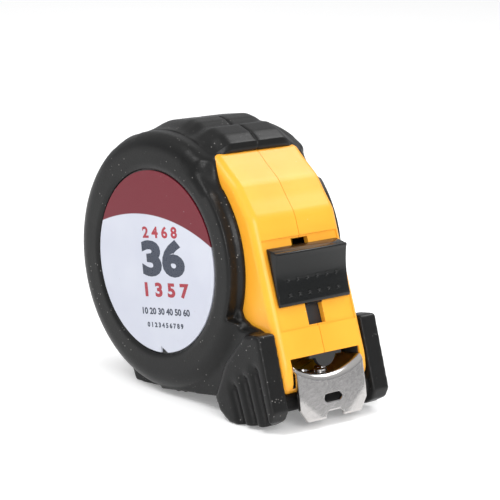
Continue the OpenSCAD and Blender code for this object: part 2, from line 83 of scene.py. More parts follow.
def named(name):
    piece = bpy.context.object
    piece.name = name
    piece.data.name = name
    return piece


def fix_place(piece):
    pick(piece)
    bpy.ops.object.transform_apply(location=True, rotation=True, scale=True)
    return piece


# %% [markdown]
# Most parts of a moulded case are a side view with a thickness. A ring of
# points is added as a circle, its points are set on the outline, it is filled
# and then extruded across the width, as one would draw and pull it by hand. A
# sculpted block would also do, but an outline keeps every size exact.

# %% Slabs, bars and cuts
def apply(piece, modifier):
    pick(piece)
    bpy.ops.object.modifier_apply(modifier=modifier.name)
    return piece


def face_outward(piece):
    pick(piece)
    bpy.ops.object.mode_set(mode="EDIT")
    bpy.ops.mesh.select_all(action="SELECT")
    bpy.ops.mesh.normals_make_consistent(inside=False)
    bpy.ops.object.mode_set(mode="OBJECT")
    return piece


def slab(name, outline, low_y, high_y):
    bpy.ops.mesh.primitive_circle_add(vertices=len(outline), fill_type="NGON")
    piece = named(name)
    for vertex, point in zip(piece.data.vertices, outline):
        vertex.co = (point[0] * MM, low_y * MM, point[1] * MM)
    bpy.ops.object.mode_set(mode="EDIT")
    bpy.ops.mesh.select_all(action="SELECT")
    bpy.ops.mesh.extrude_region_move(
        TRANSFORM_OT_translate={"value": (0, (high_y - low_y) * MM, 0)}
    )
    bpy.ops.object.mode_set(mode="OBJECT")
    return face_outward(piece)


def bar(name, radius, low_y, high_y, at=(0, 0), sides=96):
    bpy.ops.mesh.primitive_cylinder_add(
        vertices=sides,
        radius=radius * MM,
        depth=(high_y - low_y) * MM,
        location=(at[0] * MM, (low_y + high_y) / 2 * MM, at[1] * MM),
        rotation=(math.pi / 2, 0, 0),
    )
    return fix_place(named(name))


def block(name, low, high):
    bpy.ops.mesh.primitive_cube_add(
        size=1, location=[(a + b) / 2 * MM for a, b in zip(low, high)]
    )
    piece = named(name)
    piece.scale = [(b - a) * MM for a, b in zip(low, high)]
    return fix_place(piece)


def combine(piece, tool, operation="DIFFERENCE"):
    cut = piece.modifiers.new("cut", "BOOLEAN")
    cut.operation = operation
    cut.solver = "EXACT"
    cut.object = tool
    apply(piece, cut)
    bpy.data.objects.remove(tool, do_unlink=True)
    return piece


def join(pieces):
    deselect()
    for piece in pieces:
        piece.select_set(True)
    bpy.context.view_layer.objects.active = pieces[0]
    bpy.ops.object.join()
    return pieces[0]


def soften(piece, width, segments=3, angle=30):
    bevel = piece.modifiers.new("bevel", "BEVEL")
    bevel.width = width * MM
    bevel.segments = segments
    bevel.limit_method = "ANGLE"
    bevel.angle_limit = math.radians(angle)
    bevel.harden_normals = False
    return apply(piece, bevel)


def smooth(piece, angle=35):
    pick(piece)
    bpy.ops.object.shade_smooth_by_angle(angle=math.radians(angle))
    return piece


def level_normals(piece):
    level = piece.modifiers.new("level", "WEIGHTED_NORMAL")
    level.keep_sharp = True
    level.weight = 100
    return apply(piece, level)


def mirrored(piece, name):
    pick(piece)
    bpy.ops.object.duplicate()
    twin = named(name)
    twin.scale = (1, -1, 1)
    return face_outward(fix_place(twin))


def set_down(piece):
    piece.data.transform(to_frame)
    piece.data.update()
    print(piece.name, "faces", len(piece.data.polygons))
    return piece


# %% [markdown]
# Several finishes share the same small faults. Moulded plastic and rubber
# have a fine grain and a slow drift in tone, dust settles as pale specks, and
# metal keeps fine rubbing marks that run one way. Each of these is a node
# group, built once, that puts out only what changes over the surface.

# %% Shared effects
def new_group(name, inputs, outputs):
    group = bpy.data.node_groups.new(name, "ShaderNodeTree")
    group.interface.new_socket("Vector", in_out="INPUT", socket_type="NodeSocketVector")
    for label, value in inputs.items():
        socket = group.interface.new_socket(
            label, in_out="INPUT", socket_type="NodeSocketFloat"
        )
        socket.default_value = value
    for label in outputs:
        group.interface.new_socket(
            label, in_out="OUTPUT", socket_type="NodeSocketFloat"
        )
    nodes = group.nodes
    return group, nodes.new("NodeGroupInput"), nodes.new("NodeGroupOutput")


def add(tree, kind, settings=None, sockets=None):
    node = tree.nodes.new(kind)
    for label, value in (settings or {}).items():
        setattr(node, label, value)
    for label, value in (sockets or {}).items():
        if isinstance(value, bpy.types.NodeSocket):
            tree.links.new(value, node.inputs[label])
        else:
            node.inputs[label].default_value = value
    return node


def span(tree, value, low, high, to_low=0.0, to_high=1.0):
    node = add(
        tree,
        "ShaderNodeMapRange",
        {"interpolation_type": "SMOOTHSTEP"},
        {"Value": value, "From Min": low, "From Max": high},
    )
    node.inputs["To Min"].default_value = to_low
    node.inputs["To Max"].default_value = to_high
    return node.outputs["Result"]


def sums(tree, kind, first, second):
    node = add(tree, "ShaderNodeMath", {"operation": kind}, {0: first, 1: second})
    return node.outputs[0]


grain, given, put_out = new_group(
    "moulded_grain", {"Scale": 2500.0, "Drift": 60.0}, ["Height", "Drift", "Fine"]
)
fine = add(
    grain,
    "ShaderNodeTexNoise",
    None,
    {
        "Vector": given.outputs["Vector"],
        "Scale": given.outputs["Scale"],
        "Detail": 4.0,
        "Roughness": 0.6,
    },
)
pits = add(
    grain,
    "ShaderNodeTexVoronoi",
    None,
    {"Vector": given.outputs["Vector"], "Scale": given.outputs["Scale"]},
)
slow = add(
    grain,
    "ShaderNodeTexNoise",
    None,
    {
        "Vector": given.outputs["Vector"],
        "Scale": given.outputs["Drift"],
        "Detail": 3.0,
    },
)
grain_height = sums(grain, "ADD", fine.outputs[0], pits.outputs["Distance"])
grain.links.new(sums(grain, "MULTIPLY", grain_height, 0.5), put_out.inputs["Height"])
grain.links.new(
    span(grain, slow.outputs[0], 0.3, 0.7), put_out.inputs["Drift"]
)
grain.links.new(fine.outputs[0], put_out.inputs["Fine"])

dust, given, put_out = new_group(
    "dust_specks", {"Scale": 900.0, "Amount": 0.5}, ["Mask"]
)
cells = add(
    dust,
    "ShaderNodeTexVoronoi",
    None,
    {"Vector": given.outputs["Vector"], "Scale": given.outputs["Scale"]},
)
pick_some = add(
    dust, "ShaderNodeSeparateColor", None, {"Color": cells.outputs["Color"]}
)
patches = add(
    dust,
    "ShaderNodeTexNoise",
    None,
    {"Vector": given.outputs["Vector"], "Scale": 90.0, "Detail": 2.0},
)
specks = span(dust, cells.outputs["Distance"], 0.10, 0.24, 1.0, 0.0)
chosen = add(
    dust,
    "ShaderNodeMath",
    {"operation": "LESS_THAN"},
    {0: pick_some.outputs["Red"], 1: given.outputs["Amount"]},
)
patchy = span(dust, patches.outputs[0], 0.4, 0.65)
dust.links.new(
    sums(dust, "MULTIPLY", sums(dust, "MULTIPLY", specks, chosen.outputs[0]), patchy),
    put_out.inputs["Mask"],
)

rubbed, given, put_out = new_group(
    "rubbing_marks", {"Scale": 400.0, "Stretch": 0.04}, ["Height", "Mask"]
)
squeeze = add(
    rubbed,
    "ShaderNodeCombineXYZ",
    None,
    {"X": given.outputs["Stretch"], "Y": 1.0, "Z": 1.0},
)
drawn_out = add(
    rubbed,
    "ShaderNodeVectorMath",
    {"operation": "MULTIPLY"},
    {0: given.outputs["Vector"], 1: squeeze.outputs[0]},
)
lines = add(
    rubbed,
    "ShaderNodeTexNoise",
    None,
    {
        "Vector": drawn_out.outputs[0],
        "Scale": given.outputs["Scale"],
        "Detail": 5.0,
        "Roughness": 0.7,
    },
)
rubbed.links.new(lines.outputs[0], put_out.inputs["Height"])
rubbed.links.new(span(rubbed, lines.outputs[0], 0.55, 0.72), put_out.inputs["Mask"])
print("shared effects", [group.name for group in bpy.data.node_groups])


# %% [markdown]
# A finish is then a short recipe. It reads Object coordinates turned into the
# drawing's own upright place, so that a pattern sits on the object in the way
# that the maker placed it. Two tones are mixed by the slow drift, the grain
# drives a fine bump, and dust or rubbing marks change colour and shine.

# %% A recipe for a finish
RUBBED_DULLER = 0.15
DUSTY_DULLER = 0.3


def upright_vector(tree):
    place = add(tree, "ShaderNodeTexCoord").outputs["Object"]
    shifted = add(
        tree,
        "ShaderNodeMapping",
        {"vector_type": "POINT"},
        {"Vector": place, "Location": -to_axis.translation},
    )
    turned = add(
        tree,
        "ShaderNodeMapping",
        {"vector_type": "POINT"},
        {"Vector": shifted.outputs[0], "Rotation": (0.0, stance, 0.0)},
    )
    return turned.outputs[0]


def mix_colour(tree, factor, first, second):
    node = tree.nodes.new("ShaderNodeMix")
    node.data_type = "RGBA"
    for index, value in ((0, factor), (6, first), (7, second)):
        if isinstance(value, bpy.types.NodeSocket):
            tree.links.new(value, node.inputs[index])
        elif index == 0:
            node.inputs[index].default_value = value
        else:
            node.inputs[index].default_value = (*value, 1.0)
    return node.outputs[2]


def use_group(tree, group, vector, values):
    node = tree.nodes.new("ShaderNodeGroup")
    node.node_tree = group
    tree.links.new(vector, node.inputs["Vector"])
    for label, value in values.items():
        node.inputs[label].default_value = value
    return node


def start_finish(name):
    material = bpy.data.materials.new(name)
    material.use_nodes = True
    tree = material.node_tree
    shader = tree.nodes["Principled BSDF"]
    return material, tree, shader


def finish_of(
    name,
    tone,
    drift_tone,
    rough=(0.4, 0.5),
    grain_scale=2500.0,
    bump=0.02,
    metallic=0.0,
    coat=0.0,
    dusty=0.0,
    dust_tone=(0.45, 0.44, 0.42),
    marks=0.0,
    marks_tone=None,
    marks_scale=700.0,
    paint=None,
    specular=0.5,
):
    material, tree, shader = start_finish(name)
    where = upright_vector(tree)
    skin = use_group(tree, grain, where, {"Scale": grain_scale, "Drift": 55.0})
    colour = mix_colour(tree, skin.outputs["Drift"], tone, drift_tone)
    if paint:
        colour = paint(tree, where, colour)
    shine = span(tree, skin.outputs["Fine"], 0.3, 0.7, rough[0], rough[1])
    height = skin.outputs["Height"]
    if marks:
        rub = use_group(tree, rubbed, where, {"Scale": marks_scale, "Stretch": 0.05})
        faint = sums(tree, "MULTIPLY", rub.outputs["Mask"], marks)
        colour = mix_colour(tree, faint, colour, marks_tone or drift_tone)
        height = sums(tree, "ADD", height, rub.outputs["Height"])
        shine = sums(tree, "ADD", shine, sums(tree, "MULTIPLY", faint, RUBBED_DULLER))
    if dusty:
        specked = use_group(tree, dust, where, {"Scale": 1100.0, "Amount": dusty})
        colour = mix_colour(tree, specked.outputs["Mask"], colour, dust_tone)
        duller = sums(tree, "MULTIPLY", specked.outputs["Mask"], DUSTY_DULLER)
        shine = sums(tree, "ADD", shine, duller)
    bumped = add(
        tree, "ShaderNodeBump", None, {"Height": height, "Strength": 1.0}
    )
    bumped.inputs["Distance"].default_value = bump * MM
    tree.links.new(colour, shader.inputs["Base Color"])
    tree.links.new(shine, shader.inputs["Roughness"])
    tree.links.new(bumped.outputs[0], shader.inputs["Normal"])
    shader.inputs["Metallic"].default_value = metallic
    shader.inputs["Coat Weight"].default_value = coat
    shader.inputs["Specular IOR Level"].default_value = specular
    shader.inputs["Coat Roughness"].default_value = 0.15
    return material


# %% [markdown]
# The case is glossy moulded ABS in a warm yellow. The rubber is a soft black
# that is never quite black: it is a dark grey with a fine matt skin, and it
# gathers pale dust. The thumb lock is a harder, shinier black. A picture of
# each surface would look right from one side only, so tones, grain and dust
# are worked out from the place on the object.

# %% Plastic and rubber finishes
# Painted shade: the yellow case is darkened to near black in the label's recess
RECESS_FLOOR = (19.6 * MM, 19.8 * MM)
RECESS_SHADE_BLACK = (0.012, 0.012, 0.012)


def dark_recess(tree, where, colour):
    # The yellow on the floor and wall of the label's recess is mixed to near black: painted
    # shade for the recess in shadow
    parts = add(tree, "ShaderNodeSeparateXYZ", None, {"Vector": where})
    out = add(
        tree, "ShaderNodeMath", {"operation": "ABSOLUTE"}, {0: parts.outputs["Y"]}
    )
    shaded_share = span(tree, out.outputs[0], *RECESS_FLOOR)
    return mix_colour(tree, shaded_share, colour, RECESS_SHADE_BLACK)


yellow = finish_of(
    "case_yellow",
    (0.90, 0.385, 0.026),
    (0.95, 0.425, 0.034),
    # painted shade in the label's recess
    paint=dark_recess,
    specular=0.35,
    rough=(0.30, 0.38),
    grain_scale=1800.0,
    bump=0.010,
    coat=0.05,
    dusty=0.05,
    dust_tone=(0.85, 0.55, 0.2),
)
rubber = finish_of(
    "grip_rubber",
    (0.0050, 0.0050, 0.0050),
    (0.0080, 0.0080, 0.0079),
    specular=0.24,
    rough=(0.30, 0.42),
    grain_scale=2200.0,
    bump=0.030,
    dusty=0.20,
    dust_tone=(0.25, 0.24, 0.23),
)
lock_black = finish_of(
    "button_plastic",
    (0.0045, 0.0050, 0.0050),
    (0.0060, 0.0064, 0.0064),
    specular=0.32,
    rough=(0.15, 0.22),
    grain_scale=3200.0,
    bump=0.004,
)
soft_black = finish_of(
    "bumper_rubber",
    (0.012, 0.012, 0.012),
    (0.018, 0.018, 0.018),
    rough=(0.5, 0.6),
    bump=0.015,
)
nylon = finish_of(
    "drum_plastic",
    (0.018, 0.018, 0.020),
    (0.026, 0.026, 0.028),
    rough=(0.4, 0.5),
    bump=0.01,
)
print("plastics", yellow.name, rubber.name, lock_black.name, nylon.name)

# %% [markdown]
# The metals differ by how they were finished. The hook is bright nickel that
# reflects the room, the screws are zinc plated, the post is turned, the
# springs are blued, and the belt clip has a dull black phosphate skin. One
# recipe makes them all, so only tones, roughness and marks differ.

# %% Metal finishes
nickel = finish_of(
    "hook_steel",
    (0.54, 0.525, 0.515),
    (0.51, 0.495, 0.485),
    rough=(0.15, 0.21),
    grain_scale=900.0,
    bump=0.012,
    metallic=1.0,
    marks=0.30,
    marks_scale=3500.0,
    marks_tone=(0.36, 0.345, 0.335),
)
zinc = finish_of(
    "screw_steel",
    (0.50, 0.50, 0.52),
    (0.42, 0.42, 0.44),
    rough=(0.26, 0.38),
    bump=0.008,
    metallic=1.0,
    marks=0.4,
    marks_tone=(0.3, 0.3, 0.31),
)
turned_steel = finish_of(
    "post_steel",
    (0.58, 0.58, 0.60),
    (0.50, 0.50, 0.52),
    rough=(0.2, 0.3),
    bump=0.008,
    metallic=1.0,
    marks=0.5,
    marks_tone=(0.4, 0.4, 0.4),
)
blued = finish_of(
    "spring_steel",
    (0.13, 0.15, 0.21),
    (0.20, 0.21, 0.24),
    rough=(0.22, 0.34),
    bump=0.006,
    metallic=1.0,
    marks=0.4,
    marks_tone=(0.28, 0.27, 0.25),
)
phosphate = finish_of(
    "clip_steel",
    (0.016, 0.016, 0.018),
    (0.024, 0.024, 0.026),
    rough=(0.34, 0.46),
    grain_scale=1500.0,
    bump=0.010,
    metallic=0.3,
    marks=0.5,
    marks_tone=(0.05, 0.05, 0.052),
    dusty=0.05,
)
print("metals", nickel.name, zinc.name, turned_steel.name, blued.name, phosphate.name)


# %% [markdown]
# The blade is spring steel under a yellow lacquer, printed in black. The
# divisions are worked out from the distance along the blade: a short line at
# each millimetre, a longer one at each five and the longest at each ten, in
# from both edges, so they stay true however far the blade is pulled.

# %% Blade lacquer with its printed divisions
BLADE_HALF_W = 12.5
DIVISIONS = ((1.0, 0.16, 3.2), (5.0, 0.2, 5.0), (10.0, 0.24, 8.2))
PRINT_SOFTNESS = 0.05 * MM
PRINT_BLACK = (0.015, 0.015, 0.015)


def divisions(tree, where, colour):
    parts = add(tree, "ShaderNodeSeparateXYZ", None, {"Vector": where})
    along = sums(tree, "MULTIPLY", parts.outputs["X"], 1 / MM)
    across = add(
        tree, "ShaderNodeMath", {"operation": "ABSOLUTE"}, {0: parts.outputs["Y"]}
    )
    ink = None
    for pitch, thick, length in DIVISIONS:
        near = add(
            tree, "ShaderNodeMath", {"operation": "PINGPONG"}, {0: along, 1: pitch / 2}
        )
        line = span(tree, near.outputs[0], thick * 0.4, thick * 0.6, 1.0, 0.0)
        edge = (BLADE_HALF_W - length) * MM
        strip = span(
            tree, across.outputs[0], edge - PRINT_SOFTNESS, edge + PRINT_SOFTNESS
        )
        mark = sums(tree, "MULTIPLY", line, strip)
        ink = mark if ink is None else sums(tree, "MAXIMUM", ink, mark)
    return mix_colour(tree, ink, colour, PRINT_BLACK)


lacquer = finish_of(
    "blade_steel",
    (0.83, 0.56, 0.03),
    (0.88, 0.62, 0.05),
    rough=(0.28, 0.36),
    bump=0.006,
    coat=0.3,
    marks=0.15,
    marks_tone=(0.6, 0.42, 0.05),
    paint=divisions,
)
print("blade lacquer", lacquer.name)


# %% [markdown]
# The label is a printed film. A dark red band fills its top, and its lower
# edge is a slow curve that falls toward the front. Below it is a pale cool
# field. The band is found by how far a point lies outside a large circle, so
# its edge is the same true curve at any size. A picture would blur it.

# %% Label film
BAND_CENTRE = (-7.5 * MM, -51.2 * MM)
BAND_EDGE = (65.1 * MM, 65.35 * MM)
BAND_RED = (0.150, 0.014, 0.024)


def two_fields(tree, where, colour):
    parts = add(tree, "ShaderNodeSeparateXYZ", None, {"Vector": where})
    dx = sums(tree, "SUBTRACT", parts.outputs["X"], BAND_CENTRE[0])
    dz = sums(tree, "SUBTRACT", parts.outputs["Z"], BAND_CENTRE[1])
    squares = sums(
        tree, "ADD", sums(tree, "MULTIPLY", dx, dx), sums(tree, "MULTIPLY", dz, dz)
    )
    reach = add(tree, "ShaderNodeMath", {"operation": "SQRT"}, {0: squares})
    band = span(tree, reach.outputs[0], *BAND_EDGE)
    return mix_colour(tree, band, colour, BAND_RED)


film = finish_of(
    "label_print",
    (0.52, 0.54, 0.62),
    (0.56, 0.58, 0.65),
    rough=(0.28, 0.36),
    grain_scale=1400.0,
    bump=0.003,
    specular=0.25,
    dusty=0.03,
    dust_tone=(0.4, 0.4, 0.42),
    paint=two_fields,
)
navy_ink = finish_of(
    "navy_ink", (0.014, 0.022, 0.045), (0.020, 0.030, 0.058), (0.26, 0.34), bump=0.004
)
red_ink = finish_of(
    "red_ink", (0.30, 0.008, 0.022), (0.36, 0.012, 0.03), (0.26, 0.34), bump=0.004
)
blade_ink = finish_of(
    "blade_ink", (0.012, 0.012, 0.012), (0.02, 0.02, 0.02), (0.3, 0.4), bump=0.003
)
print("label", film.name, navy_ink.name, red_ink.name, blade_ink.name)

# %% [markdown]
# Every node of the frame now takes the finish that its slot names. The parts
# inside the case get theirs too: they show when the blade is drawn out or
# when someone takes the case apart.

# %% Give every node its finish
finishes = {
    "case_yellow": yellow,
    "grip_rubber": rubber,
    "label_print": film,
    "post_steel": turned_steel,
    "drum_plastic": nylon,
    "spring_steel": blued,
    "blade_steel": lacquer,
    "hook_steel": nickel,
    "screw_steel": zinc,
    "button_plastic": lock_black,
    "clip_steel": phosphate,
    "bumper_rubber": soft_black,
}
slot_of = {}
for name, node in frame["nodes"].items():
    for slot in node.material_slots:
        kind = slot.material.name.split(".")[0]
        slot_of[name] = kind
        if kind in finishes:
            slot.material = finishes[kind]
print("slots", slot_of)


def dress(piece, finish, body):
    piece.data.materials.clear()
    piece.data.materials.append(finish)
    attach(piece, body)
    return piece


# %% [markdown]
# The yellow case is two moulded halves that meet on the centre line. Its side
# view is a circle for the drum, with a leaning front that ends in a round
# chin. The outer shoulders are rounded broadly, and a raised boss on each
# side carries the label. The whole side view is one outline, with the five
# folds of the front as points on rays from the drum's axis.

# %% Side view of the case
SHELL_R = 38.4
CASE_R = 36.2
HALF_W = 16.0
CHIN_R = 4.0
NOSE = (46.9, -30.0)
CHIN = (42.9, -33.4)
BROW = [(17.3, 2.0), (24.9, 1.0), (33.2, 1.0), (42.7, 0.15), (51.0, 0.6)]


def arc(centre, radius, start, stop, steps):
    points = []
    for step in range(steps + 1):
        x, z = polar(radius, start + (stop - start) * step / steps)
        points.append((centre[0] + x, centre[1] + z))
    return points


brow_points = [polar(SHELL_R + height, angle) for angle, height in BROW]


def eased(points, reach, steps=5):
    # Each inner corner becomes a short curve, so the flats stay flat
    result = [points[0]]
    for before, corner, after in zip(points, points[1:], points[2:]):
        middle = Vector(corner)
        start = middle + (Vector(before) - middle).normalized() * reach
        stop = middle + (Vector(after) - middle).normalized() * reach
        for step in range(steps + 1):
            share = step / steps
            to_middle = start.lerp(middle, share)
            result.append(tuple(to_middle.lerp(middle.lerp(stop, share), share)))
    return result + [points[-1]]


crown_gap = polar(CASE_R, 56)
case_side = (
    [(24.0, -36.2), (27.0, -37.4)]
    + arc(CHIN, CHIN_R, -90, 0, 8)
    + eased([(46.9, -33.0), NOSE] + brow_points + [crown_gap], 1.3)
    + arc((0, 0), CASE_R, 60, 270, 70)
)
face_lean = math.atan((NOSE[0] - brow_points[0][0]) / (brow_points[0][1] - NOSE[1]))
face_x = brow_points[0][0] + brow_points[0][1] * math.tan(face_lean)
on_face = Matrix.Translation((face_x * MM, 0, 0)) @ Matrix.Rotation(-face_lean, 4, "Y")
print("case outline points", len(case_side), "front leans", math.degrees(face_lean))

# %% [markdown]
# One half is pulled from that outline. Its outer edge is bevelled broadly,
# the boss for the label is joined on, and then it is hollowed and cut for the
# mouth and for the lock's slot and panel, as the mould would leave them. Cuts
# by boolean keep the walls exact, where pushing faces in would bend them.

# %% One half of the yellow case
SHOULDER = 2.6
SEAM_GAP = 0.09
BOSS_R = 30.23
BOSS_OUT = 20.6
HOLLOW_R = 34.0
HOLLOW_OUT = 14.0
COIL_CUP_R = 28.2
COIL_CUP_OUT = 18.4
EDGE_R = 0.35
SLOT = ((-6.0, -3.1, -19.5), (10.0, 4.0, 5.2))
PANEL = ((-0.4, -14.0, -20.1), (5.0, 4.0, 5.8))
MOUTH = ((38.9, -12.9, -35.6), (60, 2, -27.4))


def select_faces(piece, test):
    pick(piece)
    bpy.ops.object.mode_set(mode="EDIT")
    mesh = bmesh.from_edit_mesh(piece.data)
    bpy.ops.mesh.select_all(action="DESELECT")
    for face in mesh.faces:
        if test(face):
            face.select_set(True)
    bmesh.update_edit_mesh(piece.data)


def case_half():
    half = slab("case_half", case_side, -HALF_W, -SEAM_GAP)
    select_faces(half, lambda face: face.normal.y < -0.9)
    bpy.ops.mesh.bevel(offset=SHOULDER * MM, segments=5, profile=0.5, affect="EDGES")
    bpy.ops.object.mode_set(mode="OBJECT")
    boss = bar("boss", BOSS_R, -BOSS_OUT, -8.0, sides=128)
    combine(half, boss, "UNION")
    hollow = slab(
        "hollow",
        [(24.2, -34.8), (27.0, -35.3)]
        + arc(CHIN, 2.0, -90, 0, 4)
        + [(44.8, -29.8), (36.6, 11.6), (28, 22), (20, 27)]
        + arc((0, 0), HOLLOW_R, 60, 270, 40),
        -HOLLOW_OUT,
        1.0,
    )
    combine(half, hollow)
    combine(half, bar("cup", COIL_CUP_R, -COIL_CUP_OUT, 0.5))
    combine(half, block("mouth", *MOUTH))
    for low, high in (SLOT, PANEL):
        tool = block("lock_cut", low, high)
        tool.data.transform(on_face)
        combine(half, tool)
    soften(half, EDGE_R, 3, 34)
    return half


case_right = case_half()
print("half of the case has faces", len(case_right.data.polygons))

# %% [markdown]
# The other half is its mirror image across the seam. A mirror modifier would
# make one piece of both, and a real case is two, so the half is copied and
# turned over, and each half takes the place of its own part of the frame.

# %% Both halves of the case
case_right.name = "case_shell_right"
case_left = mirrored(case_right, "case_shell_left")
for piece, node in ((case_right, "case_right"), (case_left, "case_left")):
    set_down(level_normals(smooth(piece, 40)))
    dress(piece, yellow, "case")
    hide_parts(node)

# %% [markdown]
# The blade slides out over a black nylon guide in the mouth. It is a block cut
# to the mouth and hollowed: its floor under the blade is the guide, and that
# floor follows the blade's own curve. A round bar cuts the curve. Thin black
# cheeks beside the blade cover the mouth's yellow side walls as painted shade.

# %% The blade guide
CUP_Z = -9.3
BED_R = 25.9
# The guide's thin black cheeks on the mouth's side walls are painted shade
guide = block("guide", (38.95, -12.88, -35.55), (46.0, 12.88, -27.45))
combine(guide, block("inside", (38.0, -12.66, -33.2), (50, 12.66, -27.0)))
combine(guide, block("throat", (38.0, -12.66, -35.2), (50, 12.66, -30.0)))
floor_bed = block("bed", (38.96, -12.7, -35.54), (44.4, 12.7, -31.0))
bowl = bar("bowl", BED_R, 30, 60, (0, 0), 128)
bowl.data.transform(Matrix.Rotation(math.radians(-90), 4, "Z"))
bowl.data.transform(Matrix.Translation((0, 0, CUP_Z * MM)))
combine(floor_bed, bowl)
combine(guide, floor_bed, "UNION")
soften(guide, 0.08, 2, 40)
set_down(smooth(guide, 40))
dress(guide, nylon, "case")
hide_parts("blade_guide")

# %% [markdown]
# The grip is soft rubber moulded over the case. Its exact size matters, as it
# carries the label, the feet and the opening for the case, so each half
# starts from a copy of the frame's own part, which brings the two pads of the
# crown, merged into one skin. Rolls and ribs are then added as simple bodies
# that sink into it: the raised lip round the window, the corner, the sill, and
# the ribs of the belly and the heel. A remesh melts them into one skin, and
# smoothing rounds it as rubber would be.

# %% Tools for the rubber
from_frame = to_frame.inverted()


def copy_of(node_name, name):
    node = frame["nodes"][node_name]
    piece = bpy.data.objects.new(name, node.data.copy())
    bpy.context.scene.collection.objects.link(piece)
    pick(piece)
    piece.data.transform(from_frame)
    bpy.ops.object.mode_set(mode="EDIT")
    bpy.ops.mesh.select_all(action="SELECT")
    bpy.ops.mesh.remove_doubles(threshold=0.002 * MM)
    bpy.ops.object.mode_set(mode="OBJECT")
    return piece


def roll(name, points, radius, sides=12):
    # A bead of rubber along a row of points, made of short bars and balls
    parts = []
    for (a, b) in zip(points, points[1:]):
        start, stop = Vector(a) * MM, Vector(b) * MM
        way = stop - start
        bpy.ops.mesh.primitive_cylinder_add(
            vertices=sides, radius=radius * MM, depth=way.length
        )
        part = named(name)
        part.rotation_mode = "QUATERNION"
        part.rotation_quaternion = way.to_track_quat("Z", "Y")
        part.location = (start + stop) / 2
        parts.append(fix_place(part))
        bpy.ops.mesh.primitive_uv_sphere_add(
            segments=sides, ring_count=8, radius=radius * MM, location=stop
        )
        parts.append(fix_place(named(name)))
    return join(parts)


def melt(piece, voxel):
    remesh = piece.modifiers.new("remesh", "REMESH")
    remesh.mode = "VOXEL"
    remesh.voxel_size = voxel * MM
    return apply(piece, remesh)


def calm(piece, passes, test=None):
    group = piece.vertex_groups.new(name="calm")
    chosen = [v.index for v in piece.data.vertices if test is None or test(v.co / MM)]
    group.add(chosen, 1.0, "REPLACE")
    evened = piece.modifiers.new("smooth", "SMOOTH")
    evened.factor = 0.5
    evened.iterations = passes
    evened.vertex_group = group.name
    apply(piece, evened)
    piece.vertex_groups.clear()
    return piece


print("rubber has its tools, drawn from", to_axis.translation)

# %% [markdown]
# Two things are pressed into the skin once it is melted: the pads of the
# crown fade out toward the sides, and three grooves run down each front leg.
# Cuts would leave sharp lips here, so the points of the skin are moved
# instead, each by how near it lies to the pad or the groove.

# %% Pads and grooves
BACK_R = 37.6
PAD_ANGLES = (50, 104)
PAD_HALF_W = 9.5
PAD_FADE = 6.5
PAD_LEFT = 0.18
LEG_FACE = 19.5
GROOVE_DEPTH = 1.3
GROOVE_W = 1.05
GROOVES = [(31.55, -34.3, 14.0), (36.45, -31.6, 12.5), (41.35, -28.9, 11.0)]


def lower_shoulders(piece):
    for vertex in piece.data.vertices:
        x, y, z = vertex.co / MM
        reach = math.hypot(x, z)
        turn = math.degrees(math.atan2(z, x))
        if reach <= BACK_R or not PAD_ANGLES[0] < turn < PAD_ANGLES[1]:
            continue
        share = min(1.0, max(0.0, (abs(y) - PAD_HALF_W) / PAD_FADE))
        fade = 0.5 + 0.5 * math.cos(math.pi * share)
        kept = BACK_R + (reach - BACK_R) * (PAD_LEFT + (1 - PAD_LEFT) * fade)
        vertex.co = Vector((x * kept / reach, y, z * kept / reach)) * MM
    piece.data.update()


def press_grooves(piece):
    # Each groove runs down along a slanting line, and fades at its top
    for vertex in piece.data.vertices:
        x, y, z = vertex.co / MM
        if abs(y) < LEG_FACE or z > -24:
            continue
        pressed = 0.0
        for start_x, top, slant in GROOVES:
            slope = math.tan(math.radians(slant))
            away = (x - start_x + (z - top) * slope) * math.cos(math.atan(slope))
            fade = min(1.0, max(0.0, (top + 2.0 - z) / 3.0))
            pressed = max(pressed, fade * math.exp(-((away / GROOVE_W) ** 2)))
        sunk = abs(y) - GROOVE_DEPTH * pressed * min(1.0, (abs(y) - LEG_FACE) / 1.5)
        vertex.co.y = math.copysign(sunk, y) * MM
    piece.data.update()


print("grooves on each leg", len(GROOVES))

# %% [markdown]
# A bead of rubber lips the window, a sill runs over the leg, the corner of
# the window flares out to the brow, and ribs cross the belly and the heel so
# that the tape doesn't slip. Each is a plain body that sinks into the grip.

# %% Beads and ribs of the rubber
BEAD_Y = 16.6


def polar_at(radius, degrees, y):
    x, z = polar(radius, degrees)
    return (x, y, z)


# The rubber flares out to the brow in the window's upper corner, in three steps
CORNER = [
    ([(34.2, 43), (36.0, 47), (38.0, 50.5), (38.2, 54)], 14.8, 17.4),
    ([(34.0, 44), (35.6, 48), (36.4, 54)], 17.0, 19.4),
    ([(33.4, 46), (34.2, 54)], 19.0, 20.9),
]


def rubber_extras(side):
    extras = []
    lip = [polar_at(33.0, angle, side * BEAD_Y) for angle in range(-24, 37, 4)]
    lip += [polar_at(34.0, 42, side * BEAD_Y), polar_at(35.8, 46.5, side * 16.3)]
    lip += [polar_at(37.3, 50, side * 15.6), polar_at(38.4, 52.6, side * 14.4)]
    lip += [(24.0, side * out, 31.1) for out in (12.0, 9.0, 4.5, 0.4)]
    extras.append(roll("lip", lip, 1.5))
    for reaches, near, far in CORNER:
        outline = [polar(32.5, 39), *[polar(r, a) for r, a in reaches], polar(32.5, 54)]
        extras.append(slab("corner", outline, side * near, side * far))
    sill = [polar_at(33.0, -24, side * BEAD_Y), (31.5, side * 16.8, -16.6)]
    sill += [(35.0, side * 16.9, -18.6), (39.4, side * 17.0, -19.8)]
    extras.append(roll("sill", sill, 1.3))
    for angle in range(-118, -84, 5):
        ends = [polar_at(38.3, angle, side * out) for out in (1.0, 15.6)]
        extras.append(roll("rib", ends, 0.95, 10))
    for angle in (222, 228, 234, 240):
        ends = [polar_at(38.0, angle, side * out) for out in (2.0, 12.0)]
        extras.append(roll("heel_rib", ends, 0.7, 10))
    return extras


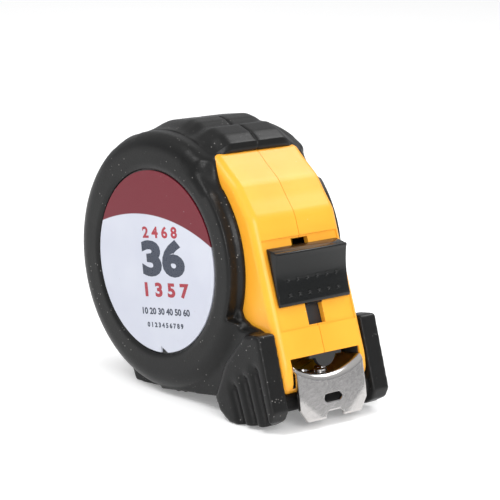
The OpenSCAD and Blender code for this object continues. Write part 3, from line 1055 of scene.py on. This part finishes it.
print("steps in the corner", len(CORNER))

# %% [markdown]
# The halves are now made. The beads join the copy, the remesh makes one skin
# of them all, and then the skin is calmed: a little all over, and more where
# beads meet in the corner, behind the pads and on the edges of the legs. One
# pass count for all of it would either leave creases or wash out the folds.

# %% Both halves of the grip
SKIN_VOXEL = 0.46


def in_corner(place):
    turn = math.degrees(math.atan2(place.z, place.x))
    return 36 < turn < 60 and abs(place.y) > 14 and math.hypot(place.x, place.z) > 31


def behind_pads(place):
    turn = math.degrees(math.atan2(place.z, place.x))
    return 97 < turn < 120 and math.hypot(place.x, place.z) > 36.5


def on_leg(place):
    return place.x > 24 and place.z < -17 and abs(place.y) > 15.0


def on_crown(place):
    return place.z > 24 and math.hypot(place.x, place.z) > 37.0


def grip_half(node, name, side):
    piece = copy_of(node, name)
    piece = join([piece] + rubber_extras(side))
    melt(piece, SKIN_VOXEL)
    lower_shoulders(piece)
    press_grooves(piece)
    calm(piece, 3)
    calm(piece, 15, on_leg)
    calm(piece, 90, in_corner)
    calm(piece, 90, behind_pads)
    calm(piece, 10, on_crown)
    set_down(smooth(piece, 60))
    dress(piece, rubber, "case")
    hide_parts(node)


grip_half("grip_right", "rubber_right", -1)
grip_half("grip_left", "rubber_left", 1)

# %% [markdown]
# The thumb lock is a wide moulded plate that a thumb pushes down the face. A
# side view gives its hollow front and its top ridge. It is pulled across the
# width, its edges are softened, and two rows of small dimples are pressed in
# for grip. It is drawn flat, and then laid on the leaning front.

# %% The thumb lock
LOCK_HALF_W = 13.2
LOCK_LOW = -12.6
LOCK_THIN = 1.2
LOCK_THICK = 4.2
DIMPLE_R = 0.85
DIMPLE_PITCH = 3.6
DIMPLE_ROWS = ((-6.4, 2.2), (-10.6, 1.62))

lock_side = [(0.1, -13.4), (0.9, -13.4), (LOCK_THIN, LOCK_LOW)]
for share in (0.15, 0.3, 0.45, 0.58, 0.7, 0.8, 0.88, 0.95):
    rise = (LOCK_THICK - LOCK_THIN) * share**2.2
    lock_side.append((LOCK_THIN + rise, LOCK_LOW + 13.5 * share))
lock_side += [(LOCK_THICK, 0.6), (LOCK_THICK, 1.0), (3.9, 1.4), (3.3, 1.5)]
lock_side += [(3.0, 1.8), (0.1, 3.4)]
lock = slab("lock_plate", lock_side, -LOCK_HALF_W, LOCK_HALF_W)
soften(lock, 0.3, 3, 40)
neck = block("neck", (-2.3, -2.8, -13.8), (0.3, 2.8, -0.4))
combine(lock, neck, "UNION")
for row, out in DIMPLE_ROWS:
    for step in range(6):
        bpy.ops.mesh.primitive_uv_sphere_add(
            segments=20,
            ring_count=12,
            radius=DIMPLE_R * MM,
            location=(out * MM, (step - 2.5) * DIMPLE_PITCH * MM, row * MM),
        )
        combine(lock, named("dimple"))
smooth(lock, 35)
lock.data.transform(on_face)
set_down(lock)
dress(lock, lock_black, "lock")
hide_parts("lock_button")


# %% [markdown]
# The hook is one strip of sheet steel. It lies in the hollow of the blade,
# bends down over its end, and hangs as a plate with cut corners, an oblong
# slot and a notch. A grid gives the sheet: one way runs across the blade, the
# other follows the strip from the leaf, round the bend and down the plate. It
# is thickened last. A bent plate could be three boxes, but only a sheet that
# follows the blade's hollow shows the curved bend of the real one.

# %% The sheet of the end hook
HOOK_X = 47.1
LEAF_LENGTH = 8.0
LEAF_R = 23.6
BEND_R = 2.2
PLATE_LOW = -45.4
PLATE_LEAN = 3
SHEET = 1.0
CREASE = 0.07


def hook_point(across, along):
    y = BLADE_HALF_W * (2 * across - 1)
    top = CUP_Z - math.sqrt(LEAF_R**2 - y * y)
    front = HOOK_X + SHEET
    if along < 0.4:
        x = HOOK_X - LEAF_LENGTH + (LEAF_LENGTH - BEND_R + SHEET) * along / 0.4
        return (x, y, top)
    if along < 0.7:
        turn = math.radians(90) * (along - 0.4) / 0.3
        return (
            front - BEND_R + BEND_R * math.sin(turn),
            y,
            top - BEND_R + BEND_R * math.cos(turn),
        )
    share = (along - 0.7) / 0.3
    start = top - BEND_R
    z = start + (PLATE_LOW - start) * share
    lean_out = math.tan(math.radians(PLATE_LEAN)) * (start - z)
    past = (abs(y) - 4.6) * 0.66 - (z - PLATE_LOW) * 0.75
    lean_out -= CREASE * max(0.0, past)
    return (front + lean_out, y, z)


bpy.ops.mesh.primitive_grid_add(x_subdivisions=40, y_subdivisions=60, size=1)
hook = named("hook_plate")
for vertex in hook.data.vertices:
    place = hook_point(vertex.co.x + 0.5, vertex.co.y + 0.5)
    vertex.co = Vector(place) * MM
face_outward(hook)
lowest_face = min(hook.data.polygons, key=lambda face: face.center.z)
if lowest_face.normal.x < 0:
    hook.data.flip_normals()
wall = hook.modifiers.new("sheet", "SOLIDIFY")
wall.thickness = SHEET * MM
wall.offset = -1
apply(hook, wall)
print("hook reaches down to", PLATE_LOW, "and out to", HOOK_X + SHEET)

# %% [markdown]
# The plate is punched: an oblong slot that holds a nail, a notch in the lower
# edge, and both lower corners off. A punch goes straight through, so each is
# cut by a slab that runs from front to back, and the edges are then softened.

# %% Cuts in the hook
def stadium(name, half_length, radius, at_z):
    ends = arc((half_length, at_z), radius, -90, 90, 10)
    ends += arc((-half_length, at_z), radius, 90, 270, 10)
    return front_slab(name, ends)


def front_slab(name, outline):
    piece = slab(name, outline, 40.0, 56.0)
    piece.data.transform(Matrix.Rotation(math.radians(-90), 4, "Z"))
    return face_outward(piece)


combine(hook, stadium("slot", 2.2, 1.2, -39.8))
notch = [(-3.6, -47), (3.6, -47), (3.3, -44.4), (2.2, -43.5), (-2.2, -43.5), (-3.3, -44.4)]
combine(hook, front_slab("notch", notch))
for way in (-1, 1):
    corner = [(way * 8.6, -47), (way * 14, -47), (way * 14, -41.6), (way * 12.6, -41.6)]
    corner.append((way * 9.8, -45.6))
    combine(hook, front_slab("corner", corner))
soften(hook, 0.16, 2, 50)
smooth(hook, 40)
set_down(hook)
dress(hook, nickel, "hook")
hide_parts("end_hook")

# %% [markdown]
# The label's lettering is plain numbers only. Each line is a text object that
# is turned into a mesh, given a hair of thickness and laid on the film. Ink
# as a mesh stays sharp at any distance, and needs no image.

# %% Printed numbers
LABEL_Y = -21.2
INK_THICK = 0.01


def figures(name, words, size, weight, resolution):
    bpy.ops.object.text_add()
    text = bpy.context.object
    text.data.body = words
    text.data.align_x = "CENTER"
    text.data.align_y = "CENTER"
    text.data.size = size * MM
    text.data.extrude = INK_THICK * MM
    text.data.resolution_u = resolution
    text.data.offset = weight * MM
    bpy.ops.object.convert(target="MESH")
    return named(name)


def printed(name, words, size, x, z, finish, side, weight=0.1, widen=1.18):
    piece = figures(name, words, size, weight, 4)
    turn = Matrix.Rotation(math.pi / 2, 4, "X")
    if side > 0:
        turn = Matrix.Rotation(math.pi, 4, "Z") @ turn
    piece.data.transform(turn @ Matrix.Diagonal((widen, 1.0, 1.0, 1.0)))
    piece.data.transform(
        Matrix.Translation((side * -x * MM, side * -LABEL_Y * MM, z * MM))
    )
    set_down(piece)
    return dress(piece, finish, "case")


for side, half in ((-1, "right"), (1, "left")):
    printed("big_number_" + half, "36", 13.2, 3.4, 0.4, navy_ink, side, 0.7, 1.5)
    printed("upper_number_" + half, "2 4 6 8", 4.4, 3.2, 8.4, red_ink, side, 0.16, 1.3)
    printed("lower_number_" + half, "1 3 5 7", 5.4, 3.4, -8.4, red_ink, side, 0.24, 1.4)
    printed("small_number_" + half, "10 20 30 40 50 60", 2.6, 2.6, -14.6, navy_ink, side)
    printed("tiny_number_" + half, "0 1 2 3 4 5 6 7 8 9", 1.9, 2.0, -18.6, navy_ink, side)

# %% [markdown]
# Pressed and bent steel never keeps a knife edge. The belt clip and its screw
# keep the frame's own shape, and a small live bevel takes their corners off.
# The weld comes first, because the frame's triangles don't share their points.

# %% Break the edges of the clip
EDGE_BREAK = 0.22
for name in ("belt_clip", "belt_clip_screw"):
    node = frame["nodes"][name]
    weld = node.modifiers.new("weld", "WELD")
    weld.merge_threshold = 0.002 * MM
    edge = node.modifiers.new("edge", "BEVEL")
    edge.width = EDGE_BREAK * MM
    edge.segments = 2
    edge.limit_method = "ANGLE"
    edge.angle_limit = math.radians(40)
    print(name, "edges broken by", EDGE_BREAK)

# %% [markdown]
# The blade is numbered each ten millimetres. The figures lie in its hollow
# and ride with it, so they come out of the mouth as the blade is pulled. Each
# figure is bent to the hollow, point by point.

# %% Numbers on the blade
BLADE_HOLLOW_R = 24.7
ABOVE_LACQUER = 0.02
for count, x in enumerate((34.0, 24.0, 14.0), 1):
    figure = figures("blade_number_" + str(count), str(count), 6.0, 0.12, 12)
    figure.data.transform(Matrix.Rotation(math.pi / 2, 4, "Z"))
    figure.data.transform(Matrix.Translation((x * MM, 0, 0)))
    for vertex in figure.data.vertices:
        y = vertex.co.y / MM
        sunk = math.sqrt(BLADE_HOLLOW_R**2 - y * y)
        vertex.co.z += (CUP_Z - sunk + ABOVE_LACQUER) * MM
    set_down(figure)
    dress(figure, blade_ink, "blade")

# %% [markdown]
# The object stands on a plain pale floor in soft studio light. A broad key
# light comes from the upper left, a fill from the right opens the shadows,
# and the pale world around shows in the bright steel. The floor glows a
# little, so that it stays as pale as the world behind it.

# %% Floor and light
bpy.ops.mesh.primitive_plane_add(size=6.0, location=(0, 0, -0.00005))
floor = named("floor")
paper, tree, shader = start_finish("floor_paper")
spot = add(tree, "ShaderNodeTexCoord").outputs["Object"]
soft = use_group(tree, grain, spot, {"Scale": 900.0, "Drift": 3.0})
pale = mix_colour(tree, soft.outputs["Drift"], (0.90, 0.90, 0.90), (0.93, 0.93, 0.93))
tree.links.new(pale, shader.inputs["Base Color"])
shader.inputs["Roughness"].default_value = 0.9
tree.links.new(pale, shader.inputs["Emission Color"])
shader.inputs["Emission Strength"].default_value = 0.25
floor.data.materials.append(paper)

world = bpy.data.worlds.new("studio")
bpy.context.scene.world = world
world.use_nodes = True
sky = add(world.node_tree, "ShaderNodeTexCoord").outputs["Generated"]
sky_parts = add(world.node_tree, "ShaderNodeSeparateXYZ", None, {"Vector": sky})
sky_height = span(world.node_tree, sky_parts.outputs["Z"], -0.05, 0.75)
sky_colour = mix_colour(world.node_tree, sky_height, (0.55, 0.56, 0.58), (1, 1, 1))
sky_light = world.node_tree.nodes["Background"]
world.node_tree.links.new(sky_colour, sky_light.inputs["Color"])
sky_light.inputs["Strength"].default_value = 0.75
bpy.context.scene.view_settings.view_transform = "Standard"


def lamp(name, place, target, size, power):
    data = bpy.data.lights.new(name, "AREA")
    data.shape = "DISK"
    data.size = size
    data.energy = power
    light = bpy.data.objects.new(name, data)
    bpy.context.scene.collection.objects.link(light)
    light.location = place
    aim = Vector(target) - Vector(place)
    light.rotation_euler = aim.to_track_quat("-Z", "Y").to_euler()
    print("lamp", name, power)


lamp("key", (-0.05, -0.55, 0.75), (0, 0, 0.04), 0.45, 2.6)
lamp("front_fill", (0.75, -0.35, 0.45), (0, 0, 0.04), 0.45, 4.0)
lamp("rim", (0.1, 0.6, 0.7), (0, 0, 0.05), 0.45, 3.0)

# %% [markdown]
# The tape is seen from the front and a little above, three quarters on, so
# that the label, the lock and the hook all show. A long lens keeps its sides
# close to parallel. The camera is placed on a ray from the point it aims at.

# %% Camera
AIM_AT = Vector((8.897, -3.0, 43.473)) * MM
DISTANCE = 620.47 * MM
TURN, RISE, TILT = math.radians(49.44), math.radians(12.47), math.radians(0.73)
LENS = 154.587
camera_data = bpy.data.cameras.new("camera")
camera_data.lens = LENS
camera_data.sensor_width = 36.0
camera = bpy.data.objects.new("camera", camera_data)
bpy.context.scene.collection.objects.link(camera)
flat = math.cos(RISE)
back = Vector((math.sin(TURN) * flat, -math.cos(TURN) * flat, math.sin(RISE)))
camera.location = AIM_AT + back * DISTANCE
upright = back.to_track_quat("Z", "Y")
camera.rotation_mode = "QUATERNION"
camera.rotation_quaternion = upright @ Matrix.Rotation(TILT, 4, "Z").to_quaternion()
camera.data.clip_start = 0.01
camera.data.clip_end = 20.0
bpy.context.scene.camera = camera
print("camera at", camera.location)
